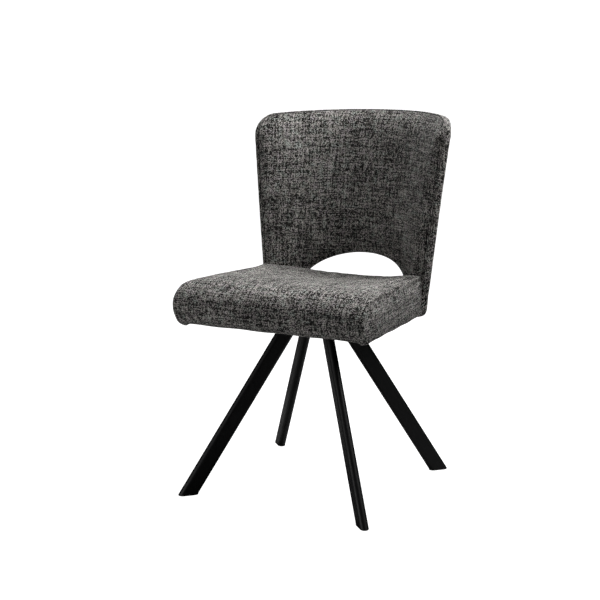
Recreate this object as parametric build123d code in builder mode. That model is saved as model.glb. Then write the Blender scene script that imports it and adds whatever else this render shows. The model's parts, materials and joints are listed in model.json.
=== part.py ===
"""Upholstered dining chair: a swivelling seat and wrap-around back on four splayed tube legs.

Millimetres, +Z up, front towards -Y. The origin is on the floor, under the middle of the
chair's box. Sketches are drawn about the swivel axis, which stands at y = SWIVEL_Y.
"""
from build123d import *
import os
from math import hypot

os.makedirs("parts", exist_ok=True)

# Back: one curved, padded band, measured on its front face
TOP_Z = 880                # crown of the back
BACK_FOOT_Z = 397          # lower edge of the back
SEAT_LEVEL = 480           # height at which the back's plan curve is stated
BACK_FACE = 250            # front face behind the swivel axis, at seat level
BACK_LEAN = 0.107          # rearward lean per unit of height
BACK_BOW = 10              # extra rearward bow at the top
BACK_HALF = 194            # half width across the front edges, at seat level
BACK_FLARE = 0.0972        # growth of that half width per unit of height
WRAP = 129                 # how far the wings come forward, at seat level
WRAP_GROWTH = 0.0575
WRAP_POWER = 2.4           # above 2: flat in the middle, curling at the wings
CROWN = 16                 # drop of the top edge from the middle to the sides
TOP_CORNER, FOOT_CORNER = 40, 24
BAND_STEPS = 12            # spans of the splines across the back
WELT_PROUD = 1.2           # how far the seam's welt stands out of the front face

# Layers of the back, counted rearwards from the front face
SKIN = 2                   # thickness of the cloth with its backing
GAP = 0.1                  # clearance between neighbouring layers
FRONT_FOAM = (SKIN + GAP, 20 - GAP)
SHELL = (20, 32 - GAP)
REAR_WADDING = (32, 36 - GAP)
BACK_THICK = 38

# Half-moon opening through the back
HOLE_HALF, HOLE_RISE = 140, 78
HOLE_CENTRE_Z, HOLE_SILL_Z = 446, 458
HOLE_CORNER = 10

# Seat
SEAT_HALF_FRONT, SEAT_HALF_REAR = 237, 207
NOSE = 262                 # reach of the rounded front edge before the swivel axis
SEAT_FRONT_FOOT = 216      # the same at the seat's lower front edge
SEAT_CORNER = 42
NOSE_TAPER = 6             # taking in of the front edge on each side
NOSE_ROOT = 26             # depth of the front edge's roll at its top
SIDE_REAR = 150            # where the straight sides end behind the axis
SEAT_REAR = 285
SEAT_FALL_Y, SEAT_FALL = 35, 16   # where the top turns down behind, and by how much
BOARD_Z, BOARD_THICK = 410, 12
SEAT_TOP_FRONT, SEAT_TOP, SEAT_TOP_REAR = 499, 505, 468
BOARD_TOP = BOARD_Z + BOARD_THICK
BACK_SPACE = 1.6           # room left between the seat and the front face of the back
BACK_ROOM, BACK_ROOM_EDGE = 60, 0.4   # depth and side clearance of the room cut for the back
SEAM_IN = 5                # the side panels take in this much of the seat's width

# Legs: flat-oval tube, splayed along the diagonals
FOOT_REACH = 225           # foot centre from the axis, along X and along Y
HUB_REACH = 53.6           # the same where the leg meets the hub plate
LEG_DEEP, LEG_WIDE, LEG_WALL = 40, 20, 1.5
GLIDE_RIM, GLIDE_PLUG, GLIDE_EDGE = 2.5, 34, 0.6
LEGS = {"front_left": (-1, -1), "front_right": (1, -1), "back_left": (-1, 1), "back_right": (1, 1)}

# Swivel
HUB_Z, HUB_THICK, HUB_SIDE, HUB_CORNER = 378, 5, 152, 14
LOWER_THICK, LOWER_SIDE = 3, 136
LOWER_Z = HUB_Z + HUB_THICK
RING_Z, RING_TOP = LOWER_Z + LOWER_THICK, 391.7
RING_INNER, RING_OUTER = 30, 48
EDGE = 1                   # chamfer on turned parts
UPPER_Z, UPPER_THICK = 392, 3
UPPER_FLAT, UPPER_SHOULDER, UPPER_RIM = 55, 66, 88
UPPER_BEND = 2             # how much further in the inner faces of its bends stand
PIN_R, PIN_HEAD_R, PIN_HEAD = 8, 14, 5
PIN_TOP = 403.3
RUNNING_FIT = 0.05
BUSH_R, BUSH_FLANGE_R, BUSH_FLANGE = 11, 15, 1
PIVOT_WASHER_Z, PIVOT_WASHER, PIVOT_WASHER_R = 396.3, 1.5, 17
PIVOT_NUT_R, PIVOT_NUT = 13, 5
BASE_BOLT_RADIUS, SEAT_BOLT_RADIUS = 60, 76
M6, M6_HEAD_R, M6_HEAD, M6_NUT_R, M6_NUT = 3, 5.8, 4, 5.8, 5
WASHER_R, WASHER = 6.4, 1
BOLT_PROUD = 1             # how far the seat bolts reach past the board
TEE_BARREL_R, TEE_FLANGE_R, TEE_FLANGE, TEE_SUNK, TEE_ROOM = 4, 9.5, 1.2, 2, 1

# Joinery between seat and back
RAIL_DEEP, RAIL_HALF, RAIL_TOP, RAIL_ROOM = 25, 137, 455.5, 0.5
BOLT_X, BOLT_Z, BOLT_R, BOLT_HEAD_R, BOLT_LENGTH = (-90, -30, 30, 90), 438, 4, 8, 38
BOLT_HEAD, BOLT_SUNK = 5, 0.8
SCREW_X, SCREW_R, SCREW_HEAD_R, SCREW_LENGTH = (-105, -45, 45, 105), 2.2, 4.5, 34
SCREW_HEAD, SCREW_SUNK, SCREW_SINK = 2.6, 0.2, 3

# Underside
DUST_THICK = 1
DUST_Z = BOARD_Z - GAP - DUST_THICK
DUST_CORNER, DUST_HEM = 32, 6      # corner radius, and how far in the staples stand
DUST_HALF_FRONT, DUST_HALF_REAR, DUST_FRONT, DUST_SIDE_REAR, DUST_REAR = 216, 186, 196, 104, 224
STAPLES, STAPLE_WIDE, STAPLE_WIRE, STAPLE_LEG = 28, 10, 1.2, 6

FAR = 400                  # longer than any cut needs to be
PAST = 20                  # a little beyond the face that a cut runs through


def about_axis(z):
    """Horizontal plane at height z, centred on the swivel axis."""
    return Plane(origin=(0, SWIVEL_Y, z))


def back_face(x, z):
    """Distance of the back's front face behind the swivel axis."""
    rise = z - SEAT_LEVEL
    span = TOP_Z - SEAT_LEVEL
    wrap = WRAP + WRAP_GROWTH * rise
    return (BACK_FACE + BACK_LEAN * rise + BACK_BOW * (rise / span) ** 2
            - wrap * abs(x / back_half(z)) ** WRAP_POWER)


def back_half(z):
    """Half width of the back across its front edges."""
    return BACK_HALF + BACK_FLARE * (z - SEAT_LEVEL)


def back_normal(x, z):
    """Unit vector out of the back's rear face, in plan."""
    step = 0.01
    slope = (back_face(x + step, z) - back_face(x - step, z)) / (2 * step)
    length = hypot(slope, 1)
    return Vector(-slope / length, 1 / length, 0)


def back_point(x, z, depth):
    """Point at a depth behind the front face, in a plane about the axis."""
    return Vector(x, back_face(x, z), 0) + depth * back_normal(x, z)


SWIVEL_Y = (NOSE - back_face(0, TOP_Z) - BACK_THICK) / 2
SIDE = Plane(origin=(0, SWIVEL_Y, 0), x_dir=(0, 1, 0), z_dir=(1, 0, 0))
ELEVATION = Plane(origin=(0, SWIVEL_Y, 0), x_dir=(1, 0, 0), z_dir=(0, -1, 0))


def back_band(near, far, inset=0.0):
    """Tall curved band between two depths, its two edges moved in by an inset."""
    with BuildPart() as band:
        for z in (BACK_FOOT_Z - PAST, (BACK_FOOT_Z + TOP_Z) / 2, TOP_Z + PAST):
            edge = back_half(z) - inset * back_normal(back_half(z), z).Y
            xs = [edge * (2 * i / BAND_STEPS - 1) for i in range(BAND_STEPS + 1)]
            with BuildSketch(about_axis(z)):
                with BuildLine():
                    front = Spline(*[back_point(x, z, near) for x in xs])
                    rear = Spline(*[back_point(x, z, far) for x in xs])
                    Line(front @ 0, rear @ 0)
                    Line(front @ 1, rear @ 1)
                make_face()
        loft()
    return band.part


def back_outline(inset=0.0):
    """Prism of the back's outline from the front: arched top, rounded corners, narrower foot."""
    spread = BACK_THICK * back_normal(BACK_HALF, SEAT_LEVEL).X + 1
    foot = back_half(BACK_FOOT_Z) + spread
    shoulder_z = TOP_Z - CROWN
    shoulder = back_half(shoulder_z) + spread
    with BuildPart() as prism:
        with BuildSketch(ELEVATION) as outline:
            with BuildLine():
                Polyline((-shoulder, shoulder_z), (-foot, BACK_FOOT_Z), (foot, BACK_FOOT_Z),
                         (shoulder, shoulder_z))
                ThreePointArc((shoulder, shoulder_z), (0, TOP_Z), (-shoulder, shoulder_z))
            make_face()
            fillet(outline.vertices().group_by(Axis.Y)[-1], TOP_CORNER)
            fillet(outline.vertices().group_by(Axis.Y)[0], FOOT_CORNER)
            if inset:
                offset(amount=-inset)
        extrude(amount=FAR, both=True)
    return prism.part


def half_moon(grow=0.0, to_floor=False):
    """Prism of the hand opening; to_floor runs it on downwards through the lower edge."""
    with BuildPart() as prism:
        with BuildSketch(ELEVATION) as moon:
            with Locations((0, HOLE_CENTRE_Z)):
                Ellipse(HOLE_HALF + grow, HOLE_RISE + grow)
            with Locations((0, HOLE_SILL_Z - grow - FAR / 2)):
                Rectangle(FAR, FAR, mode=Mode.SUBTRACT)
            fillet(moon.vertices().group_by(Axis.Y)[0], HOLE_CORNER + grow)
            if to_floor:
                with Locations((0, HOLE_SILL_Z - FAR / 2 + HOLE_CORNER)):
                    Rectangle(2 * (HOLE_HALF + grow), FAR)
        extrude(amount=FAR, both=True)
    return prism.part


def back_layer(depths, inset, hole):
    """One layer of the back, trimmed to the outline and opened for the hand."""
    with BuildPart() as layer:
        add(back_band(*depths, inset))
        add(back_outline(inset), mode=Mode.INTERSECT)
        add(hole, mode=Mode.SUBTRACT)
    return layer.part


def seat_plan(shrink=0.0):
    """Plan outline of the seat: straight tapering sides, rounded front corners, curved rear."""
    with BuildSketch() as plan:
        with BuildLine():
            Polyline((-SEAT_HALF_REAR, SIDE_REAR), (-SEAT_HALF_FRONT, -SEAT_FRONT_FOOT),
                     (-SEAT_HALF_FRONT + NOSE_TAPER, -NOSE), (SEAT_HALF_FRONT - NOSE_TAPER, -NOSE),
                     (SEAT_HALF_FRONT, -SEAT_FRONT_FOOT), (SEAT_HALF_REAR, SIDE_REAR))
            ThreePointArc((SEAT_HALF_REAR, SIDE_REAR), (0, SEAT_REAR), (-SEAT_HALF_REAR, SIDE_REAR))
        make_face()
        fillet(plan.vertices().group_by(Axis.Y)[0], SEAT_CORNER)
        if shrink:
            offset(amount=-shrink)
    return plan.sketch


def seat_block(shrink, low, high=2 * BOARD_Z):
    """The seat's body between two heights, cut clear of the back."""
    fall_y = SEAT_REAR - SEAT_FALL_Y
    root = (-NOSE + NOSE_ROOT, SEAT_TOP_FRONT)
    with BuildPart() as block:
        with BuildSketch(about_axis(low)):
            add(seat_plan(shrink))
        extrude(amount=high - low)
        with BuildSketch(SIDE) as profile:
            with BuildLine():
                Polyline((-SEAT_FRONT_FOOT, BOARD_Z), (-SEAT_FRONT_FOOT, BOARD_Z - PAST),
                         (FAR, BOARD_Z - PAST), (FAR, SEAT_TOP_REAR - SEAT_FALL), (fall_y, SEAT_TOP_REAR))
                ThreePointArc((fall_y, SEAT_TOP_REAR), (0, SEAT_TOP), root)
                ThreePointArc(root, (-NOSE, (BOARD_Z + SEAT_TOP) / 2), (-SEAT_FRONT_FOOT, BOARD_Z))
            make_face()
            if shrink:
                offset(amount=-shrink)
        extrude(amount=FAR, both=True, mode=Mode.INTERSECT)
        add(back_band(-BACK_SPACE, BACK_ROOM, -BACK_ROOM_EDGE), mode=Mode.SUBTRACT)
    return block.part.solids().sort_by(SortBy.VOLUME)[-1]


def keep(piece, name):
    """Label a finished piece and write it."""
    piece.label = name
    export_step(piece, f"parts/{name}.step")


# Legs and glides
def leg_plane(sx, sy):
    """Plane across a leg at its foot, its x axis along the tube's long side."""
    foot = Vector(sx * FOOT_REACH, SWIVEL_Y + sy * FOOT_REACH, 0)
    run = Vector(sx * HUB_REACH, SWIVEL_Y + sy * HUB_REACH, HUB_Z) - foot
    return Plane(origin=foot, x_dir=Vector(-sy, sx, 0).cross(run), z_dir=run)


for place, (sx, sy) in LEGS.items():
    across = leg_plane(sx, sy)
    with BuildPart() as leg:
        with BuildSketch(across):
            SlotOverall(LEG_DEEP, LEG_WIDE)
            SlotOverall(LEG_DEEP - 2 * LEG_WALL, LEG_WIDE - 2 * LEG_WALL, mode=Mode.SUBTRACT)
        extrude(amount=2 * HUB_Z, both=True)
        split(bisect_by=Plane.XY.offset(GLIDE_RIM), keep=Keep.TOP)
        split(bisect_by=Plane.XY.offset(HUB_Z), keep=Keep.BOTTOM)
    keep(leg.part, f"leg_{place}")

    foot_face = leg.faces().sort_by(Axis.Z)[0]
    with BuildPart() as glide:
        with BuildSketch(across):
            SlotOverall(LEG_DEEP - 2 * (LEG_WALL + GAP), LEG_WIDE - 2 * (LEG_WALL + GAP))
        extrude(amount=GLIDE_PLUG, both=True)
        split(bisect_by=Plane.XY.offset(GLIDE_RIM), keep=Keep.TOP)
        extrude(Face(foot_face.outer_wire()), amount=GLIDE_RIM, dir=(0, 0, -1))
        chamfer(glide.faces().sort_by(Axis.Z)[0].edges(), GLIDE_EDGE)
    keep(glide.part, f"glide_{place}")

# Base half of the swivel
with BuildPart() as hub_plate:
    with BuildSketch(about_axis(HUB_Z)):
        RectangleRounded(HUB_SIDE, HUB_SIDE, HUB_CORNER)
        Circle(PIN_R + GAP, mode=Mode.SUBTRACT)
        with PolarLocations(BASE_BOLT_RADIUS, 4):
            Circle(M6 + GAP, mode=Mode.SUBTRACT)
    extrude(amount=HUB_THICK)
keep(hub_plate.part, "hub_plate")

with BuildPart() as swivel_lower_plate:
    with BuildSketch(about_axis(LOWER_Z)):
        RectangleRounded(LOWER_SIDE, LOWER_SIDE, HUB_CORNER)
        Circle(PIN_R + GAP, mode=Mode.SUBTRACT)
        with PolarLocations(BASE_BOLT_RADIUS, 4):
            Circle(M6 + GAP, mode=Mode.SUBTRACT)
    extrude(amount=LOWER_THICK)
keep(swivel_lower_plate.part, "swivel_lower_plate")

with BuildPart() as base_bolts:
    with BuildSketch(about_axis(HUB_Z)):
        with PolarLocations(BASE_BOLT_RADIUS, 4):
            RegularPolygon(M6_HEAD_R, 6)
    extrude(amount=-M6_HEAD)
    with BuildSketch(about_axis(HUB_Z)):
        with PolarLocations(BASE_BOLT_RADIUS, 4):
            Circle(M6)
    extrude(amount=RING_Z + M6_NUT - HUB_Z)
keep(base_bolts.part, "base_bolts")

with BuildPart() as base_nuts:
    with BuildSketch(about_axis(RING_Z)):
        with PolarLocations(BASE_BOLT_RADIUS, 4):
            RegularPolygon(M6_NUT_R, 6)
            Circle(M6 + GAP, mode=Mode.SUBTRACT)
    extrude(amount=M6_NUT)
keep(base_nuts.part, "base_nuts")

with BuildPart() as bearing_ring:
    with BuildSketch(about_axis(RING_Z)):
        Circle(RING_OUTER)
        Circle(RING_INNER, mode=Mode.SUBTRACT)
    extrude(amount=RING_TOP - RING_Z)
    chamfer(bearing_ring.faces().sort_by(Axis.Z)[-1].edges(), EDGE)
keep(bearing_ring.part, "bearing_ring")

with BuildPart() as pivot_pin:
    with BuildSketch(about_axis(HUB_Z - PIN_HEAD)):
        Circle(PIN_HEAD_R)
    extrude(amount=PIN_HEAD)
    with BuildSketch(about_axis(HUB_Z)):
        Circle(PIN_R)
    extrude(amount=PIN_TOP - HUB_Z)
    chamfer(pivot_pin.faces().sort_by(Axis.Z)[-1].edges(), EDGE)
    chamfer(pivot_pin.faces().sort_by(Axis.Z)[0].edges(), EDGE)
keep(pivot_pin.part, "pivot_pin")

with BuildPart() as pivot_washer:
    with BuildSketch(about_axis(PIVOT_WASHER_Z)):
        Circle(PIVOT_WASHER_R)
        Circle(PIN_R + GAP, mode=Mode.SUBTRACT)
    extrude(amount=PIVOT_WASHER)
keep(pivot_washer.part, "pivot_washer")

with BuildPart() as pivot_nut:
    with BuildSketch(about_axis(PIVOT_WASHER_Z + PIVOT_WASHER)):
        RegularPolygon(PIVOT_NUT_R, 6)
        Circle(PIN_R + GAP, mode=Mode.SUBTRACT)
    extrude(amount=PIVOT_NUT)
keep(pivot_nut.part, "pivot_nut")

# Seat half of the swivel
with BuildPart() as swivel_upper_plate:
    with BuildSketch(SIDE):
        with BuildLine():
            lift = BOARD_Z - UPPER_THICK - UPPER_Z
            top = UPPER_Z + UPPER_THICK
            Polyline((BUSH_R + GAP, UPPER_Z), (UPPER_FLAT, UPPER_Z), (UPPER_SHOULDER, UPPER_Z + lift),
                     (UPPER_RIM, UPPER_Z + lift), (UPPER_RIM, top + lift),
                     (UPPER_SHOULDER - UPPER_BEND, top + lift), (UPPER_FLAT - UPPER_BEND, top),
                     (BUSH_R + GAP, top), close=True)
        make_face()
    revolve(axis=Axis((0, SWIVEL_Y, 0), (0, 0, 1)))
    with BuildSketch(about_axis(BOARD_Z)):
        with PolarLocations(SEAT_BOLT_RADIUS, 4, start_angle=45):
            Circle(M6 + GAP)
    extrude(amount=-2 * UPPER_THICK, mode=Mode.SUBTRACT)
keep(swivel_upper_plate.part, "swivel_upper_plate")

with BuildPart() as pivot_bush:
    with BuildSketch(about_axis(UPPER_Z)):
        Circle(BUSH_R)
        Circle(PIN_R + RUNNING_FIT, mode=Mode.SUBTRACT)
    extrude(amount=UPPER_THICK)
    with BuildSketch(about_axis(UPPER_Z + UPPER_THICK)):
        Circle(BUSH_FLANGE_R)
        Circle(PIN_R + RUNNING_FIT, mode=Mode.SUBTRACT)
    extrude(amount=BUSH_FLANGE)
keep(pivot_bush.part, "pivot_bush")

FLANGE_Z = BOARD_Z - UPPER_THICK
with BuildPart() as seat_bolts:
    with BuildSketch(about_axis(FLANGE_Z - WASHER)):
        with PolarLocations(SEAT_BOLT_RADIUS, 4, start_angle=45):
            RegularPolygon(M6_HEAD_R, 6)
    extrude(amount=-M6_HEAD)
    with BuildSketch(about_axis(FLANGE_Z - WASHER)):
        with PolarLocations(SEAT_BOLT_RADIUS, 4, start_angle=45):
            Circle(M6)
    extrude(amount=BOARD_TOP + BOLT_PROUD - FLANGE_Z)
keep(seat_bolts.part, "seat_bolts")

with BuildPart() as seat_washers:
    with BuildSketch(about_axis(FLANGE_Z - WASHER)):
        with PolarLocations(SEAT_BOLT_RADIUS, 4, start_angle=45):
            Circle(WASHER_R)
            Circle(M6 + GAP, mode=Mode.SUBTRACT)
    extrude(amount=WASHER)
keep(seat_washers.part, "seat_washers")

with BuildPart() as tee_nuts:
    with BuildSketch(about_axis(BOARD_Z + TEE_SUNK)):
        with PolarLocations(SEAT_BOLT_RADIUS, 4, start_angle=45):
            Circle(TEE_BARREL_R)
            Circle(M6 + GAP, mode=Mode.SUBTRACT)
    extrude(amount=BOARD_THICK - TEE_SUNK)
    with BuildSketch(about_axis(BOARD_TOP)):
        with PolarLocations(SEAT_BOLT_RADIUS, 4, start_angle=45):
            Circle(TEE_FLANGE_R)
            Circle(M6 + GAP, mode=Mode.SUBTRACT)
    extrude(amount=TEE_FLANGE)
keep(tee_nuts.part, "tee_nuts")


# Seat
def screw_spots():
    """Places of the rail screws, in a plane about the axis."""
    return [(x, back_face(x, BOLT_Z) - RAIL_DEEP / 2) for x in SCREW_X]


with BuildPart() as seat_board:
    add(seat_block(SKIN + GAP, BOARD_Z, BOARD_TOP))
    with BuildSketch(about_axis(BOARD_Z)):
        with PolarLocations(SEAT_BOLT_RADIUS, 4, start_angle=45):
            Circle(TEE_BARREL_R + GAP)
        with Locations(*screw_spots()):
            Circle(SCREW_R + GAP)
    extrude(amount=BOARD_THICK, mode=Mode.SUBTRACT)
    with BuildSketch(about_axis(BOARD_Z)):
        with Locations(*screw_spots()):
            Circle(SCREW_HEAD_R + GAP)
    extrude(amount=SCREW_SINK, mode=Mode.SUBTRACT)
keep(seat_board.part, "seat_board")

with BuildPart() as seat_foam:
    add(seat_block(SKIN + GAP, BOARD_TOP + GAP))
    with BuildSketch(about_axis(BOARD_TOP)):
        with PolarLocations(SEAT_BOLT_RADIUS, 4, start_angle=45):
            Circle(TEE_FLANGE_R + TEE_ROOM)
    extrude(amount=TEE_FLANGE + 2 * TEE_ROOM, mode=Mode.SUBTRACT)
    with BuildPart(mode=Mode.PRIVATE) as rail_room:
        add(back_band(-RAIL_DEEP - RAIL_ROOM, BACK_ROOM))
        with BuildSketch(about_axis(BOARD_Z)):
            with Locations((0, SEAT_REAR)):
                Rectangle(2 * (RAIL_HALF + RAIL_ROOM), 2 * FAR)
        extrude(amount=RAIL_TOP + RAIL_ROOM - BOARD_Z, mode=Mode.INTERSECT)
    add(rail_room.part, mode=Mode.SUBTRACT)
keep(seat_foam.part, "seat_foam")

SIDE_RUN = Vector(SEAT_HALF_REAR - SEAT_HALF_FRONT, SIDE_REAR + SEAT_FRONT_FOOT, 0)


def side_seam(side):
    """Upright plane through a side seam, facing outwards."""
    start = Vector(side * (SEAT_HALF_FRONT - SEAM_IN), SWIVEL_Y - SEAT_FRONT_FOOT, BOARD_Z)
    return Plane(origin=start, x_dir=(0, 0, 1), z_dir=(side * SIDE_RUN.Y, -SIDE_RUN.X, 0))


def seat_skin():
    """The whole cover of the seat, open below and behind."""
    with BuildPart() as skin:
        add(seat_block(0, BOARD_Z))
        add(seat_block(SKIN, BOARD_Z - PAST), mode=Mode.SUBTRACT)
    return skin.part


with BuildPart() as seat_cover:
    add(seat_skin())
    split(bisect_by=side_seam(1), keep=Keep.BOTTOM)
    split(bisect_by=side_seam(-1), keep=Keep.BOTTOM)
keep(seat_cover.part, "seat_cover")

for side, name in ((-1, "seat_side_left"), (1, "seat_side_right")):
    with BuildPart() as seat_side:
        add(seat_skin())
        split(bisect_by=side_seam(side), keep=Keep.TOP)
    keep(seat_side.part, name)

with BuildPart() as dust_cover:
    with BuildSketch(about_axis(DUST_Z)) as dust_plan:
        with BuildLine():
            Polyline((-DUST_HALF_REAR, DUST_SIDE_REAR), (-DUST_HALF_FRONT, -DUST_FRONT),
                     (DUST_HALF_FRONT, -DUST_FRONT), (DUST_HALF_REAR, DUST_SIDE_REAR))
            ThreePointArc((DUST_HALF_REAR, DUST_SIDE_REAR), (0, DUST_REAR),
                          (-DUST_HALF_REAR, DUST_SIDE_REAR))
        make_face()
        fillet(dust_plan.vertices().group_by(Axis.Y)[0], DUST_CORNER)
        Circle(UPPER_RIM + UPPER_THICK, mode=Mode.SUBTRACT)
    extrude(amount=DUST_THICK)
keep(dust_cover.part, "dust_cover")

dust_edge = dust_plan.sketch.faces()[0].outer_wire()
hem = offset(dust_edge, amount=-DUST_HEM, kind=Kind.INTERSECTION, mode=Mode.PRIVATE)
with BuildPart() as staples:
    for i in range(STAPLES):
        spot = Plane(origin=hem.wire() @ (i / STAPLES), x_dir=hem.wire() % (i / STAPLES), z_dir=(0, 0, 1))
        with BuildSketch(spot.offset(DUST_Z - STAPLE_WIRE - spot.origin.Z)):
            Rectangle(STAPLE_WIDE, STAPLE_WIRE)
        extrude(amount=STAPLE_WIRE)
        with BuildSketch(spot.offset(DUST_Z - spot.origin.Z)):
            with GridLocations(STAPLE_WIDE - STAPLE_WIRE, 0, 2, 1):
                Rectangle(STAPLE_WIRE, STAPLE_WIRE)
        extrude(amount=STAPLE_LEG)
keep(staples.part, "staples")

# Back
MOON = half_moon(SKIN + GAP)
HORSESHOE = half_moon(SKIN + GAP, to_floor=True)


def bolt_plane(x, depth):
    """Plane across a back bolt at a depth behind the front face, facing rearwards."""
    spot = back_point(x, BOLT_Z, depth)
    return Plane(origin=(spot.X, spot.Y + SWIVEL_Y, BOLT_Z), x_dir=(0, 0, 1), z_dir=back_normal(x, BOLT_Z))


def bolts(spare):
    """The four back bolts, or the room they need."""
    with BuildPart() as group:
        for x in BOLT_X:
            head_plane = bolt_plane(x, SHELL[1] - BOLT_SUNK)
            with BuildSketch(head_plane.offset(spare)):
                Circle(BOLT_HEAD_R + spare)
            extrude(amount=-BOLT_HEAD - 2 * spare)
            with BuildSketch(head_plane.offset(-BOLT_R)):
                Circle(BOLT_R + spare)
            extrude(amount=-BOLT_LENGTH - spare)
    return group.part


with BuildPart() as back_rail:
    add(back_band(-RAIL_DEEP, SHELL[0] - GAP))
    with BuildSketch(about_axis(BOARD_TOP + GAP)):
        with Locations((0, SEAT_REAR)):
            Rectangle(2 * RAIL_HALF, 2 * FAR)
    extrude(amount=RAIL_TOP - BOARD_TOP - GAP, mode=Mode.INTERSECT)
    add(bolts(GAP), mode=Mode.SUBTRACT)
    with BuildSketch(about_axis(BOARD_TOP)):
        with Locations(*screw_spots()):
            Circle(SCREW_R + GAP)
    extrude(amount=SCREW_LENGTH + GAP - BOARD_THICK, mode=Mode.SUBTRACT)
keep(back_rail.part, "back_rail")

with BuildPart() as rail_screws:
    with BuildSketch(about_axis(BOARD_Z + SCREW_SUNK)):
        with Locations(*screw_spots()):
            Circle(SCREW_HEAD_R)
    extrude(amount=SCREW_HEAD)
    with BuildSketch(about_axis(BOARD_Z + SCREW_HEAD)):
        with Locations(*screw_spots()):
            Circle(SCREW_R)
    extrude(amount=SCREW_LENGTH - SCREW_HEAD)
keep(rail_screws.part, "rail_screws")

keep(bolts(0), "back_bolts")

with BuildPart() as back_shell:
    add(back_layer(SHELL, SKIN + GAP, MOON))
    for x in BOLT_X:
        with BuildSketch(bolt_plane(x, BACK_THICK)):
            Circle(BOLT_HEAD_R + GAP)
        extrude(amount=SHELL[1] - BOLT_SUNK - BOLT_HEAD - GAP - BACK_THICK, mode=Mode.SUBTRACT)
    add(bolts(GAP), mode=Mode.SUBTRACT)
keep(back_shell.part, "back_shell")

keep(back_layer(FRONT_FOAM, SKIN + GAP, HORSESHOE), "back_foam")
keep(back_layer((0, SKIN), SKIN + GAP, HORSESHOE), "back_front_cover")
keep(back_layer(REAR_WADDING, SKIN + GAP, MOON), "back_wadding")

with BuildPart() as back_rear_cover:
    add(back_layer((0, BACK_THICK), 0, MOON))
    with BuildPart(mode=Mode.PRIVATE) as inside:
        add(back_band(-PAST, BACK_THICK - SKIN, SKIN))
        add(back_outline(SKIN), mode=Mode.INTERSECT)
    add(inside.part, mode=Mode.SUBTRACT)
keep(back_rear_cover.part, "back_rear_cover")

with BuildPart() as hole_edging:
    add(back_band(0, BACK_THICK))
    add(half_moon(SKIN), mode=Mode.INTERSECT)
    add(half_moon(), mode=Mode.SUBTRACT)
keep(hole_edging.part, "hole_edging")

with BuildPart() as edge_welt:
    add(back_band(-WELT_PROUD, -GAP))
    add(back_outline(), mode=Mode.INTERSECT)
    with BuildPart(mode=Mode.PRIVATE) as face_room:
        add(back_band(-PAST, PAST, SKIN))
        add(back_outline(SKIN), mode=Mode.INTERSECT)
    add(face_room.part, mode=Mode.SUBTRACT)
keep(edge_welt.part, "edge_welt")
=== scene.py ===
"""Builds the upholstery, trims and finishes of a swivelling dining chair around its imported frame.

Laid out as an add-on and run as a script. Everything is in metres, front towards -Y.
"""

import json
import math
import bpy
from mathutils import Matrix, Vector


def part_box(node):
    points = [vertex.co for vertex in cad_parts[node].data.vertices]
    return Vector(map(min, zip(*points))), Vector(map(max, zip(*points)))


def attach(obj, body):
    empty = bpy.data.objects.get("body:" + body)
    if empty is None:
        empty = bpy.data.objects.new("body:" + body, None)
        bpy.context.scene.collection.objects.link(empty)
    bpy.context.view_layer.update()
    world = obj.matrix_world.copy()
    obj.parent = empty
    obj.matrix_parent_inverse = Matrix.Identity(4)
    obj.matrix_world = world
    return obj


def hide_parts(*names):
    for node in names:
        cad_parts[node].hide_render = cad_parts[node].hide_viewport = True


bl_info = {
    "name": "Swivel dining chair",
    "version": (1, 0, 0),
    "blender": (4, 5, 0),
    "location": "3D Viewport > Sidebar > Chair",
    "description": "Upholstery, trims and finishes of a swivelling dining chair",
    "category": "Object",
}

import bpy
import numpy as np
from bpy.props import FloatProperty, FloatVectorProperty, PointerProperty
from mathutils import Vector
from mathutils.kdtree import KDTree

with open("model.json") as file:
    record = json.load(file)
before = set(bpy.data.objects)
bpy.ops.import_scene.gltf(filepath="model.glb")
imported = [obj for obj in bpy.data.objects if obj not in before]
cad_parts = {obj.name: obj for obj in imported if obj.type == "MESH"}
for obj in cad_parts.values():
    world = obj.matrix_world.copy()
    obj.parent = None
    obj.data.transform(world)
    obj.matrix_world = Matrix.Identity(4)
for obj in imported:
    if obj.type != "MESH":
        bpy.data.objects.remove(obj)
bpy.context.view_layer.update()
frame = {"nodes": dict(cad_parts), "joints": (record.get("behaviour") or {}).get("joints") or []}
AXIS = Vector(frame["joints"][0]["pos_m"])
BACK_LOW, BACK_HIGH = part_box("back_rear_cover")
SEAT_LOW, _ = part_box("seat_cover")
MM = 0.001


def length(name, description, default):
    """A size that a user would change."""
    return FloatProperty(name=name, description=description, default=default, unit="LENGTH",
                         subtype="DISTANCE")


def colour(name, description, default):
    """A colour that a user would change."""
    return FloatVectorProperty(name=name, description=description, default=default, size=4, min=0, max=1,
                               subtype="COLOR")


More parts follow.
